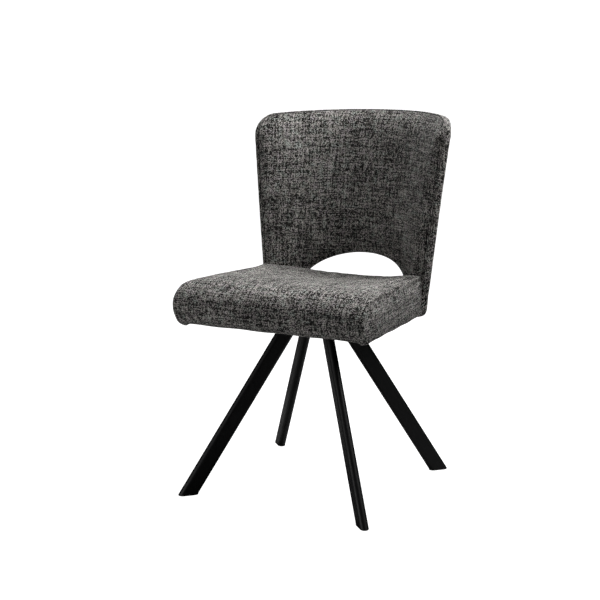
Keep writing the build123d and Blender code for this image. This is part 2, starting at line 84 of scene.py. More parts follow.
class ChairSizes(bpy.types.PropertyGroup):
    """Sizes of the soft parts; the seat level and the swivel axis come from the frame."""

    seat_level: length("Seat level", "Height at which the curve of the back is stated", 0.480)
    back_reach: length("Back reach", "Front face of the back behind the swivel axis", 0.2540)
    back_half: length("Back half width", "Half width across the front edges at seat level", 0.1970)
    back_bow: length("Back bow", "Rearward bow at the top", 0.010)
    back_thick: length("Back thickness", "Thickness of the padded back", 0.038)
    wrap: length("Wrap", "How far the wings come forward at seat level", 0.129)
    crown: length("Crown", "Drop of the top edge towards the corners", 0.014)
    top_corner: length("Top corner", "Radius of the upper corners, laid flat", 0.046)
    foot_corner: length("Foot corner", "Radius of the lower corners, laid flat", 0.026)
    edge_round: length("Edge round", "Radius along the edges of the back", 0.014)
    pad_crown: length("Pad crown", "How far the front pad stands proud in its middle", 0.010)
    pad_roll: length("Pad roll", "Width over which the front pad falls to its side edges", 0.085)
    pad_fall: length("Pad fall", "Height over which the front pad falls to its top edge", 0.240)
    top_roll: length("Top roll", "How far the front pad falls back at the top edge", 0.009)
    top_roll_width: length("Top roll width", "Height over which it does so", 0.055)
    fullness: length("Fullness", "What the padding adds round the edge of the back", 0.0065)
    hole_half: length("Opening half width", "Half width of the hand opening", 0.1385)
    hole_rise: length("Opening rise", "Height of the opening's arch above its centre line", 0.078)
    hole_centre: length("Opening centre", "Height of the arch's centre line", 0.446)
    hole_sill: length("Opening sill", "Height of the opening's flat lower side", 0.458)
    seat_half_front: length("Seat half width, front", "Half width of the seat at its front edge", 0.237)
    seat_half_rear: length("Seat half width, rear", "Half width of the seat where it meets the back", 0.207)
    seat_foot: length("Seat foot", "Lower front edge before the swivel axis", 0.218)
    seat_nose: length("Seat nose", "Furthest point of the front before the swivel axis", 0.266)
    seat_brow: length("Seat brow", "Where the flat of the seat starts to roll over the front", 0.194)
    seat_rear: length("Seat rear", "Rear of the seat behind the swivel axis, in its middle", 0.250)
    seat_side_height: length("Seat side height", "Highest line along the sides of the seat", 0.509)
    seat_dish: length("Seat dish", "Depth of the hollow at the rear of the seat", 0.039)
    seat_edge: length("Seat edge", "Radius along the sides of the seat", 0.012)
    seat_corner: length("Seat corner", "Radius of the seat's front corners at mid height", 0.014)
    board_corner: length("Board corner", "Radius of the front corners down at the board", 0.016)
    rear_drop: length("Rear drop", "How much lower the cover hangs at the rear than in front", 0.0045)
    hem: length("Hem", "Cloth turned under the board", 0.020)
    yarn: length("Yarn", "Spacing of the yarns in the tweed", 0.0018)
    voxel: length("Mesh grain", "Size of the faces before the last subdivision", 0.005)


class ChairColours(bpy.types.PropertyGroup):
    """Colours of the finishes."""

    dark_yarn: colour("Dark yarn", "Darkest yarn of the tweed", (0.0035, 0.0033, 0.003, 1))
    mid_yarn: colour("Middle yarn", "Middle yarn of the tweed", (0.036, 0.034, 0.032, 1))
    light_yarn: colour("Light yarn", "Lightest yarn of the tweed", (0.56, 0.545, 0.53, 1))
    coat: colour("Powder coat", "Colour of the legs and hub", (0.0022, 0.0022, 0.0024, 1))
    plastic: colour("Glide plastic", "Colour of the glides", (0.012, 0.012, 0.013, 1))
    lining: colour("Lining", "Cloth under the seat", (0.012, 0.012, 0.013, 1))
    zinc: colour("Zinc", "Plated steel of the swivel and fasteners", (0.56, 0.56, 0.57, 1))


def power(name, description, default):
    """The power of a lamp."""
    return FloatProperty(name=name, description=description, default=default, min=0, unit="POWER")


class ChairLight(bpy.types.PropertyGroup):
    """Strength of the studio's lamps."""

    overhead: power("Overhead", "Soft lamp above the chair", 62)
    side: power("Side", "Soft lamp over the sitter's left side", 20)
    fill: power("Fill", "Broad lamp in front, on the sitter's right", 30)
    room: FloatProperty(name="Room", description="Light thrown back by the room", default=0.02, min=0)


def sizes():
    """The chair's sizes in this scene."""
    return bpy.context.scene.chair_sizes


def colours():
    """The chair's colours in this scene."""
    return bpy.context.scene.chair_colours


# ---------------------------------------------------------------- mesh helpers
def clear_selection():
    """Nothing selected and object mode on, so that an operator acts only on what it makes."""
    if bpy.context.object and bpy.context.object.mode != "OBJECT":
        bpy.ops.object.mode_set(mode="OBJECT")
    bpy.ops.object.select_all(action="DESELECT")


def pick(piece):
    """Only this piece selected and active."""
    clear_selection()
    piece.select_set(True)
    bpy.context.view_layer.objects.active = piece


def points(piece):
    """The piece's vertices as an array."""
    flat = np.empty(len(piece.data.vertices) * 3)
    piece.data.vertices.foreach_get("co", flat)
    return flat.reshape(-1, 3)


def move_points(piece, places):
    """Puts the piece's vertices at these places."""
    piece.data.vertices.foreach_set("co", np.ascontiguousarray(places, dtype=float).ravel())
    piece.data.update()


def normals(piece):
    """The piece's vertex normals as an array."""
    flat = np.empty(len(piece.data.vertices) * 3)
    piece.data.vertex_normals.foreach_get("vector", flat)
    return flat.reshape(-1, 3)


def settle(piece, name):
    """Names a finished piece and puts its place into its mesh."""
    pick(piece)
    bpy.ops.object.transform_apply(location=True, rotation=True, scale=True)
    piece.name = name
    piece.data.name = name
    return piece


def outward(piece):
    """Merges doubles and turns the faces outwards."""
    pick(piece)
    bpy.ops.object.mode_set(mode="EDIT")
    bpy.ops.mesh.select_all(action="SELECT")
    bpy.ops.mesh.remove_doubles(threshold=1e-5)
    bpy.ops.mesh.normals_make_consistent(inside=False)
    bpy.ops.object.mode_set(mode="OBJECT")


def soften(piece, repeat):
    """Evens out the piece's vertices."""
    pick(piece)
    bpy.ops.object.mode_set(mode="EDIT")
    bpy.ops.mesh.select_all(action="SELECT")
    bpy.ops.mesh.vertices_smooth(factor=0.5, repeat=repeat)
    bpy.ops.object.mode_set(mode="OBJECT")


def remesh(piece, grain):
    """Even faces of one size all over the piece."""
    pick(piece)
    piece.data.remesh_voxel_size = grain
    bpy.ops.object.voxel_remesh()


def apply_modifiers(piece):
    """Applies the piece's modifiers in order."""
    pick(piece)
    for modifier in list(piece.modifiers):
        bpy.ops.object.modifier_apply(modifier=modifier.name)


def subdivide_smooth(piece):
    """One level of subdivision surface, applied."""
    modifier = piece.modifiers.new("Subdivision", "SUBSURF")
    modifier.levels = modifier.render_levels = 1
    apply_modifiers(piece)


def inflate(piece, pressure, cap, held):
    """Puffs the closed piece up by cloth simulation; no point moves more than the cap."""
    rest = points(piece)
    group = piece.vertex_groups.new(name="held")
    group.add([int(i) for i in np.nonzero(held)[0]], 1.0, "REPLACE")
    cloth = piece.modifiers.new("Cloth", "CLOTH")
    cloth.settings.quality = 5
    cloth.settings.mass = 0.3
    cloth.settings.tension_stiffness = 12
    cloth.settings.compression_stiffness = 12
    cloth.settings.bending_stiffness = 0.6
    cloth.settings.use_pressure = True
    cloth.settings.uniform_pressure_force = pressure
    cloth.settings.vertex_group_mass = "held"
    cloth.settings.effector_weights.gravity = 0
    cloth.point_cache.frame_start, cloth.point_cache.frame_end = 1, 20
    for step in range(1, 21):
        bpy.context.scene.frame_set(step)
    apply_modifiers(piece)
    moved = points(piece) - rest
    size = np.linalg.norm(moved, axis=1, keepdims=True)
    limit = cap * np.tanh(size / cap)
    move_points(piece, rest + moved * limit / np.maximum(size, 1e-9))
    piece.vertex_groups.clear()
    bpy.context.scene.frame_set(1)


def press_line(piece, path, depth, width, ridge=0.0):
    """Presses a seam into the piece along a path, with a low ridge on both sides of it, and stores a crease
    mask along it that the tweed darkens as painted shade.
    """
    tree = KDTree(len(path))
    for i, place in enumerate(path.tolist()):
        tree.insert(place, i)
    tree.balance()
    places = points(piece)
    facing = normals(piece)
    # Mask along the seam, used by the tweed for painted shade in the crease.
    note = piece.data.attributes.get("crease") or piece.data.attributes.new("crease", "FLOAT", "POINT")
    creased = np.zeros(len(places))
    note.data.foreach_get("value", creased)
    low, high = np.min(path, axis=0) - 4 * width, np.max(path, axis=0) + 4 * width
    for i in np.nonzero(np.all((places > low) & (places < high), axis=1))[0]:
        gap = tree.find(places[i])[2]
        push = -depth * math.exp(-(gap / width) ** 2) + ridge * math.exp(-((gap - 2.2 * width) / width) ** 2)
        places[i] += push * facing[i]
        creased[i] = max(creased[i], math.exp(-(gap / (0.8 * width)) ** 2))
    move_points(piece, places)
    note.data.foreach_set("value", creased)


def write_uv(piece, corner_uv):
    """Stores the cloth's own coordinates, in metres, as the piece's UV map."""
    while piece.data.uv_layers:
        piece.data.uv_layers.remove(piece.data.uv_layers[0])
    layer = piece.data.uv_layers.new(name="cloth")
    layer.data.foreach_set("uv", np.ascontiguousarray(corner_uv, dtype=float).ravel())


def corner_points(piece):
    """Vertex number of each face corner."""
    corners = np.empty(len(piece.data.loops), dtype=int)
    piece.data.loops.foreach_get("vertex_index", corners)
    return corners


def corner_facing(piece):
    """Face normal at each face corner."""
    count = len(piece.data.polygons)
    facing = np.empty(count * 3)
    piece.data.polygons.foreach_get("normal", facing)
    totals = np.empty(count, dtype=int)
    piece.data.polygons.foreach_get("loop_total", totals)
    return np.repeat(facing.reshape(-1, 3), totals, axis=0)


def tube(name, path, radius):
    """A round cord of cloth along a closed path, as a mesh with its own UV map."""
    clear_selection()
    curve = bpy.data.curves.new(name, "CURVE")
    curve.dimensions = "3D"
    spline = curve.splines.new("POLY")
    spline.points.add(len(path) - 1)
    for point, place in zip(spline.points, path):
        point.co = (*place, 1)
    spline.use_cyclic_u = True
    curve.bevel_depth = radius
    curve.bevel_resolution = 2
    piece = bpy.data.objects.new(name, curve)
    bpy.context.collection.objects.link(piece)
    pick(piece)
    bpy.ops.object.convert(target="MESH")
    piece = bpy.context.object
    outward(piece)
    places = points(piece)[corner_points(piece)]
    write_uv(piece, np.column_stack((places[:, 0] + places[:, 1], places[:, 2] + places[:, 1])))
    bpy.ops.object.shade_smooth()
    return settle(piece, name)


# ---------------------------------------------------------------- shape of the back
WRAP_POWER = 2.4
WRAP_GROWTH = 0.0575
BACK_LEAN = 0.107
BACK_FLARE = 0.0972


def back_half(z):
    """Half width of the back across its front edges."""
    return sizes().back_half + BACK_FLARE * (z - sizes().seat_level)


def back_wrap(z):
    """How far the wings come forward at a height."""
    return sizes().wrap + WRAP_GROWTH * (z - sizes().seat_level)


def back_face(x, z):
    """Y of the back's front face."""
    s = sizes()
    rise = z - s.seat_level
    share = rise / (BACK_HIGH.z - s.seat_level)
    return (AXIS.y + s.back_reach + BACK_LEAN * rise + s.back_bow * share ** 2
            - back_wrap(z) * np.abs(x / back_half(z)) ** WRAP_POWER)


def curve_table():
    """Length along the back's curve, as a share of its half width, against x as the same share."""
    share = np.linspace(0, 1.4, 281)
    steepness = sizes().wrap * WRAP_POWER / sizes().back_half
    slope = steepness * share ** (WRAP_POWER - 1)
    steps = np.hypot(1, (slope[1:] + slope[:-1]) / 2) * np.diff(share)
    return share, np.concatenate(([0], np.cumsum(steps)))


def along_of(x, z):
    """Length along the back's curve out to x."""
    share, run = curve_table()
    half = back_half(z)
    return np.sign(x) * np.interp(np.abs(x) / half, share, run) * half


def curve_back(flat):
    """Takes points of the flat back (along, up, depth behind the front) to the curved back."""
    along, up, depth = np.asarray(flat, dtype=float).T
    share, run = curve_table()
    half = back_half(up)
    t = np.interp(np.abs(along) / half, run, share)
    x = np.sign(along) * t * half
    slope = -np.sign(along) * back_wrap(up) * WRAP_POWER / half * t ** (WRAP_POWER - 1)
    tilt = 1 / np.hypot(1, slope)
    return np.column_stack((x - depth * slope * tilt, back_face(x, up) + depth * tilt, up))


def ease(value):
    """Smooth rise from 0 to 1."""
    value = np.clip(value, 0, 1)
    return value * value * (3 - 2 * value)


def bow(value):
    """Rise from 0 to 1 along a parabola, steepest at its start."""
    return 1 - (1 - np.clip(value, 0, 1)) ** 2


def crowned(flat):
    """Lets the front of the flat back stand proud in its middle and roll off towards its edges."""
    s = sizes()
    along, up, depth = flat.T
    inside = along_of(back_half(up), up) - np.abs(along)
    below = BACK_HIGH.z - s.crown * (along / 0.25) ** 2 - up
    arch = along_of(np.full(len(up), s.hole_half), up)
    ring = np.hypot(along / arch, (up - s.hole_centre) / s.hole_rise) - 1
    share = (bow(inside / s.pad_roll) * bow(below / s.pad_fall)
             * bow(ring * s.hole_rise / (0.5 * s.pad_roll)))
    front = ease(1 - depth / s.back_thick * 1.6)
    roll = s.top_roll * (1 - ease(below / s.top_roll_width)) ** 1.5
    return np.column_stack((along, up, depth + (roll - s.pad_crown * share) * front))


def round_corners(corners, radii, steps=9):
    """Closed outline through these corners, each one rounded."""
    outline = []
    for i, (corner, radius) in enumerate(zip(corners, radii)):
        corner = np.array(corner, dtype=float)
        before = np.array(corners[i - 1]) - corner
        after = np.array(corners[(i + 1) % len(corners)]) - corner
        before, after = before / np.linalg.norm(before), after / np.linalg.norm(after)
        half_angle = math.acos(float(np.dot(before, after))) / 2
        middle = (before + after) / np.linalg.norm(before + after)
        centre = corner + middle * radius / math.sin(half_angle)
        start = corner + before * radius / math.tan(half_angle) - centre
        end = corner + after * radius / math.tan(half_angle) - centre
        for k in range(steps + 1):
            blend = start * (1 - k / steps) + end * (k / steps)
            outline.append(centre + blend / np.linalg.norm(blend) * radius)
    return np.array(outline)


def back_outline(grow=0.0, spacing=0.0):
    """Outline of the flat back (along, up): arched top, rounded corners, narrower foot."""
    s = sizes()
    low, high = BACK_LOW.z - grow, BACK_HIGH.z + grow
    foot = along_of(back_half(low), low) + grow
    top = along_of(back_half(high), high) + grow
    foot, top = foot + s.fullness * 0.6, top + s.fullness
    outline = round_corners([(-foot, low), (foot, low), (top, high), (-top, high)],
                            [s.foot_corner + grow] * 2 + [s.top_corner + grow] * 2)
    if spacing:
        outline = even_path(outline, spacing)
    drop = s.crown / (high - low) * (outline[:, 0] / top) ** 2
    outline[:, 1] = low + (outline[:, 1] - low) * (1 - drop)
    return outline


def even_path(path, spacing):
    """The same closed path with points evenly spaced."""
    path = np.array(path, dtype=float)
    path = np.vstack((path, path[:1]))
    run = np.concatenate(([0], np.cumsum(np.linalg.norm(np.diff(path, axis=0), axis=1))))
    count = max(int(run[-1] / spacing), 8)
    stops = np.linspace(0, run[-1], count, endpoint=False)
    return np.column_stack([np.interp(stops, run, path[:, k]) for k in range(path.shape[1])])


def opening_outline(grow=0.0):
    """Outline of the hand opening, laid flat (along, up): an arch on a straight sill."""
    s = sizes()
    half, rise = s.hole_half + grow, s.hole_rise + grow
    sill = s.hole_sill - grow
    start = math.asin((sill - s.hole_centre) / rise)
    turns = np.linspace(start, math.pi - start, 49)
    xs, zs = half * np.cos(turns), s.hole_centre + rise * np.sin(turns)
    arch = np.column_stack((along_of(xs, zs), zs))
    corner = 9 * MM + grow
    ends = round_corners([tuple(arch[-1]), tuple(arch[0]), tuple(arch[5]), tuple(arch[-6])],
                         [corner, corner, 1 * MM, 1 * MM])[:20]
    keep = arch[arch[:, 1] > sill + 1.6 * corner]
    return np.vstack((ends, keep))


def slab(outline, front, rear):
    """A flat plate with this outline, between two depths; its local z is minus the depth."""
    clear_selection()
    bpy.ops.mesh.primitive_circle_add(vertices=len(outline), fill_type="NGON")
    piece = bpy.context.object
    move_points(piece, np.column_stack((outline, np.full(len(outline), -front))))
    bpy.ops.object.mode_set(mode="EDIT")
    bpy.ops.mesh.select_all(action="SELECT")
    bpy.ops.mesh.extrude_region_move(TRANSFORM_OT_translate={"value": (0, 0, front - rear)})
    bpy.ops.object.mode_set(mode="OBJECT")
    outward(piece)
    return piece


def bevel_sharp(piece, width, segments, chosen=None):
    """Rounds the sharp edges of the piece, or those that are chosen by their middle."""
    pick(piece)
    bpy.ops.object.mode_set(mode="EDIT")
    bpy.ops.mesh.select_all(action="DESELECT")
    bpy.ops.mesh.select_mode(type="EDGE")
    bpy.ops.mesh.edges_select_sharp(sharpness=math.radians(50))
    bpy.ops.object.mode_set(mode="OBJECT")
    if chosen:
        for edge in piece.data.edges:
            ends = [piece.data.vertices[v].co for v in edge.vertices]
            edge.select = edge.select and bool(chosen((ends[0] + ends[1]) / 2))
    bpy.ops.object.mode_set(mode="EDIT")
    bpy.ops.mesh.bevel(offset=width, segments=segments, profile=0.5, affect="EDGES")
    bpy.ops.object.mode_set(mode="OBJECT")


def flat_back():
    """The padded back laid flat, with its edges rounded and the hand opening cut through."""
    s = sizes()
    plate = slab(back_outline(spacing=8 * MM), 0, s.back_thick)
    bevel_sharp(plate, s.edge_round, 5)
    cutter = slab(opening_outline(), -0.1, s.back_thick + 0.1)
    pick(plate)
    cut = plate.modifiers.new("Opening", "BOOLEAN")
    cut.operation = "DIFFERENCE"
    cut.object = cutter
    cut.solver = "EXACT"
    apply_modifiers(plate)
    bpy.data.objects.remove(cutter)
    rim = opening_outline(3 * MM)
    low, high = rim.min(axis=0), rim.max(axis=0)
    bevel_sharp(plate, 7 * MM, 3, lambda p: low[0] < p.x < high[0] and low[1] < p.y < high[1])
    return plate


# ---------------------------------------------------------------- pieces
class CHAIR_OT_back(bpy.types.Operator):
    """Make the padded back: cut flat, rounded, curved round the sitter and puffed up"""

    bl_idname = "chair.back"
    bl_label = "Padded back"

    def execute(self, context):
        s = sizes()
        piece = flat_back()
        remesh(piece, s.voxel)
        soften(piece, 3)
        flat = points(piece)
        flat[:, 2] *= -1
        note = piece.data.attributes.new("flat", "FLOAT_VECTOR", "POINT")
        note.data.foreach_set("vector", flat.ravel())
        move_points(piece, curve_back(crowned(flat)))
        outward(piece)
        edge = np.abs(flat[:, 2] - s.back_thick / 2) < 0.3 * s.back_thick
        inflate(piece, 3.5, 4 * MM, edge)
        subdivide_smooth(piece)
        flat = np.empty(len(piece.data.vertices) * 3)
        piece.data.attributes["flat"].data.foreach_get("vector", flat)
        flat = flat.reshape(-1, 3)
        corners = flat[corner_points(piece)]
        sideways = np.clip(corners[:, 0] / 0.2, -1, 1)
        upward = np.clip((corners[:, 1] - 0.64) / 0.2, -1, 1)
        write_uv(piece, corners[:, :2] + corners[:, 2:] * np.column_stack((sideways, upward)))
        path = seam_path(SEAM_DEPTH)
        press_line(piece, path, 1.8 * MM, 2.8 * MM, 0.5 * MM)
        pick(piece)
        bpy.ops.object.shade_smooth()
        settle(piece, "back_upholstery")
        piece.data.materials.clear()
        piece.data.materials.append(tweed())
        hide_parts("back_foam", "back_front_cover", "back_rear_cover", "back_wadding", "hole_edging",
                    "back_shell")
        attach(piece, "seat")
        return {"FINISHED"}


SEAM_DEPTH = 13 * MM


def seam_path(depth, grow=0.0):
    """Line of the seam round the edge of the back."""
    rim = back_outline(grow, 3 * MM)
    return curve_back(crowned(np.column_stack((rim, np.full(len(rim), depth)))))


class CHAIR_OT_back_welt(bpy.types.Operator):
    """Make the welt sewn into the seam round the back"""

    bl_idname = "chair.back_welt"
    bl_label = "Back welt"

    def execute(self, context):
        piece = tube("back_welt", seam_path(SEAM_DEPTH, -0.3 * MM), 1.5 * MM)
        piece.data.materials.append(tweed())
        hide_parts("edge_welt")
        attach(piece, "seat")
        return {"FINISHED"}


# ---------------------------------------------------------------- shape of the seat
SIDE_REAR = 0.150        # where the sides meet the back, behind the swivel axis
RIM_PEAK = -0.120        # where the sides are highest
BACK_REACH_X = 0.188     # how far out the rear follows the curve of the back


def seat_half(y):
    """Half width of the seat at a distance behind the axis."""
    s = sizes()
    slope = (s.seat_half_rear - s.seat_half_front) / (SIDE_REAR + s.seat_foot)
    return s.seat_half_front + slope * (y + s.seat_foot)


def seat_rim(y):
    """Height of the seat along its sides; y is measured from the swivel axis."""
    ahead = np.minimum(y - RIM_PEAK, 0) / 0.116
    behind = np.maximum(y - RIM_PEAK, 0) / 0.270
    return sizes().seat_side_height - 8 * MM * ahead ** 2 - 3 * MM * behind ** 2


def seat_profile():
    """Outline of the seat from the side (distance behind the axis, height), with its rolled front."""
    s = sizes()
    brow_height = float(seat_rim(-s.seat_brow))
    middle = (SEAT_LOW.z + brow_height) / 2
    outline = [(s.seat_rear, SEAT_LOW.z)]
    for turn in np.linspace(-math.pi / 2, 0, 12)[:-1]:
        outline.append((-s.seat_foot - (s.seat_nose - s.seat_foot) * math.cos(turn),
                        middle + (middle - SEAT_LOW.z) * math.sin(turn)))
    for turn in np.linspace(0, math.pi / 2, 12)[:-1]:
        outline.append((-s.seat_brow - (s.seat_nose - s.seat_brow) * math.cos(turn),
                        middle + (brow_height - middle) * math.sin(turn)))
    for y in np.linspace(-s.seat_brow, s.seat_rear, 24):
        outline.append((y, float(seat_rim(y))))
    return np.array(outline)[::-1]


def shape_seat(block):
    """Takes the straight block to the seat's plan: tapering sides, round corners, dished top."""
    s = sizes()
    x, y, z = block.T
    share = np.clip((z - SEAT_LOW.z) / (s.seat_side_height - SEAT_LOW.z), 0, 1)
    narrowed = x / s.seat_half_front * s.seat_half_rear
    rear = back_face(np.clip(narrowed, -BACK_REACH_X, BACK_REACH_X), s.seat_level) - AXIS.y + 1 * MM
    run = np.maximum(y + s.seat_foot, 0) / (s.seat_rear + s.seat_foot)
    y = np.where(y > -s.seat_foot, -s.seat_foot + run * (rear + s.seat_foot), y)
    wrapped = 3.5 * MM * (1 - ease(share / 0.16))
    half = seat_half(np.maximum(y, -s.seat_foot)) + 1.8 * MM + wrapped
    x = x / s.seat_half_front * half
    roll = np.sqrt(np.clip(1 - (2 * share - 1) ** 2, 0, 1))
    reach = np.where(share < 0.5, s.seat_foot, s.seat_brow)
    front = -reach - (s.seat_nose - reach) * roll - wrapped
    radius = s.seat_corner + (s.board_corner - s.seat_corner) * (1 - ease(share / 0.42))
    across = np.abs(x) - (half - radius)
    ahead = front + radius - y
    gap = np.hypot(across, ahead)
    pull = np.where((across > 0) & (ahead > 0) & (gap > radius), radius / np.maximum(gap, 1e-9), 1)
    x = np.where(pull < 1, np.sign(x) * (half - radius + across * pull), x)
    y = np.where(pull < 1, front + radius - ahead * pull, y)
    back_share = ease((y + 0.200) / 0.440)
    z = z - s.seat_dish * back_share * (1 - np.clip(np.abs(x) / half, 0, 1) ** 2) * share ** 2
    return np.column_stack((x, y + AXIS.y, z))


def side_seam(side):
    """Line of the seam between the seat's top and side panels."""
    s = sizes()
    ys = np.linspace(-s.seat_foot - 8 * MM, SIDE_REAR, 120)
    drop = 3 * MM + 13 * MM * ease((ys + 0.216) / 0.366)
    return np.column_stack((side * (seat_half(np.maximum(ys, -s.seat_foot)) + 1 * MM), ys + AXIS.y,
                            seat_rim(ys) - drop))


def over_nose(places):
    """Length of the cloth from the rear, over the top and down the rolled front."""
    s = sizes()
    start = AXIS.y - s.seat_foot
    middle = (SEAT_LOW.z + s.seat_side_height) / 2
    ahead = start - places[:, 1]
    turn = np.arctan2(places[:, 2] - middle, np.maximum(ahead, 1e-6))
    rolled = start - (s.seat_nose - s.seat_foot) * (math.pi / 2 - turn)
    return np.where(ahead > 0, rolled, places[:, 1] + 0.5 * (places[:, 2] - s.seat_side_height))


def turn_hem(piece):
    """Turns the cover under the board's rim and lifts the rest out of sight, into the board."""
    s = sizes()
    places = points(piece)
    x, y, z = places[:, 0], places[:, 1] - AXIS.y, places[:, 2]
    rise = z - SEAT_LOW.z
    corner = np.hypot(np.abs(x) - s.seat_half_front + 13 * MM, y + s.seat_foot + 8 * MM)
    drop = 1.6 * MM + s.rear_drop * ease((y + s.seat_foot) / 0.3) + 5 * MM * np.exp(-(corner / (9 * MM)) ** 2)
    ripple = 0.6 * MM * np.sin(x * 55 + y * 70) * ease(1 - rise / 0.02)
    z = z - (drop + ripple) * (1 - ease(rise / 0.03))
    rear = back_face(np.clip(x, -0.18, 0.18), s.seat_level) - AXIS.y - y
    inside = np.minimum(np.minimum(seat_half(y) - np.abs(x), y + s.seat_foot), rear)
    under = (rise < 6 * MM) & (normals(piece)[:, 2] < -0.3)
    lifted = SEAT_LOW.z + 5 * MM
    share = np.where(under, ease((inside - s.hem) / (5 * MM)), 0)
    places[:, 2] = z + (lifted - z) * share
    move_points(piece, places)


class CHAIR_OT_seat(bpy.types.Operator):
    """Make the seat cushion: a crowned block with a rolled front edge, dished at the rear"""

    bl_idname = "chair.seat"
    bl_label = "Seat cushion"

    def execute(self, context):
        s = sizes()
        half = s.seat_half_front
        piece = slab(seat_profile(), -half, half)
        bevel_sharp(piece, s.seat_edge, 4, lambda p: abs(p.z) > 0.99 * half and p.y > SEAT_LOW.z + 1 * MM)
        move_points(piece, points(piece)[:, [2, 0, 1]])
        outward(piece)
        remesh(piece, s.voxel)
        soften(piece, 2)
        move_points(piece, shape_seat(points(piece)))
        inflate(piece, 3.5, 4 * MM, points(piece)[:, 2] < SEAT_LOW.z + 12 * MM)
        subdivide_smooth(piece)
        for side in (-1, 1):
            press_line(piece, side_seam(side), 3.4 * MM, 2.6 * MM, 0.9 * MM)
            tuck = np.linspace((side * 0.224, -0.224 + AXIS.y, SEAT_LOW.z - 6 * MM),
                               (side * 0.235, -0.236 + AXIS.y, SEAT_LOW.z + 26 * MM), 24)
            press_line(piece, tuck, 2.0 * MM, 3 * MM, 0.9 * MM)
        turn_hem(piece)
        places = points(piece)[corner_points(piece)]
        sideways = np.abs(corner_facing(piece)[:, 0]) > 0.75
        u = np.where(sideways, places[:, 1], places[:, 0])
        v = np.where(sideways, places[:, 2], over_nose(places))
        write_uv(piece, np.column_stack((u, v)))
        pick(piece)
        bpy.ops.object.shade_smooth()
        settle(piece, "seat_cushion")
        piece.data.materials.clear()
        piece.data.materials.append(tweed())
        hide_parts("seat_foam", "seat_cover", "seat_side_left", "seat_side_right")
        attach(piece, "seat")
        return {"FINISHED"}


SHEET_OPENING = 91 * MM      # radius of the lining's hole round the swivel
SHEET_SIDE_REAR = 0.104      # where its sides end, behind the swivel axis
SHEET_HALF_REAR = 0.186      # its half width there


class CHAIR_OT_dust_sheet(bpy.types.Operator):
    """Stretch the lining under the seat, open round the swivel and sagging a little"""

    bl_idname = "chair.dust_sheet"
    bl_label = "Dust sheet"

    def execute(self, context):
        s = sizes()
        low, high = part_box("dust_cover")
        clear_selection()
        bpy.ops.mesh.primitive_grid_add(x_subdivisions=84, y_subdivisions=84, size=2)
        piece = context.object
        across, along, _ = points(piece).T
        front = low.y - AXIS.y
        y = front + (along + 1) / 2 * (high.y - low.y)
        half = seat_half(y) - s.hem - 1 * MM
        x = across * half
        rear = SHEET_SIDE_REAR + (high.y - AXIS.y - SHEET_SIDE_REAR) * (
            1 - np.clip(x / SHEET_HALF_REAR, -1, 1) ** 2)
        y = front + (along + 1) / 2 * (rear - front)
        pull = np.maximum(np.hypot(x, y), 1e-6)
        near = pull < SHEET_OPENING + 3 * MM
        x, y = np.where(near, x / pull * SHEET_OPENING, x), np.where(near, y / pull * SHEET_OPENING, y)
        edge = np.minimum(1 - np.abs(across), 1 - np.abs(along))
        sag = 2.2 * MM * ease(edge / 0.5) * ease((np.hypot(x, y) - SHEET_OPENING) / 0.05)
        pucker = 0.5 * MM * np.sin(np.arctan2(y, x) * 28) * ease(1 - edge / 0.12)
        hidden = pull < SHEET_OPENING - 4 * MM
        move_points(piece, np.column_stack((x, y + AXIS.y, high.z - sag - pucker)))
        pick(piece)
        bpy.ops.object.mode_set(mode="EDIT")
        bpy.ops.mesh.select_mode(type="VERT")
        bpy.ops.mesh.select_all(action="DESELECT")
        bpy.ops.object.mode_set(mode="OBJECT")
        piece.data.vertices.foreach_set("select", hidden)
        bpy.ops.object.mode_set(mode="EDIT")
        bpy.ops.mesh.delete(type="VERT")
        bpy.ops.object.mode_set(mode="OBJECT")
        outward(piece)
        thick = piece.modifiers.new("Solidify", "SOLIDIFY")
        thick.thickness = 0.6 * MM
        apply_modifiers(piece)
        outward(piece)
        bpy.ops.object.shade_smooth_by_angle(angle=math.radians(40))
        settle(piece, "dust_sheet")
        piece.data.materials.append(lining())
        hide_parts("dust_cover")
        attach(piece, "seat")
        return {"FINISHED"}


# ---------------------------------------------------------------- finishes
def socket(group, name, kind, into=True, default=None):
    """Adds a named input or output to a node group."""
    made = group.interface.new_socket(name=name, in_out="INPUT" if into else "OUTPUT", socket_type=kind)
    if default is not None:
        made.default_value = default


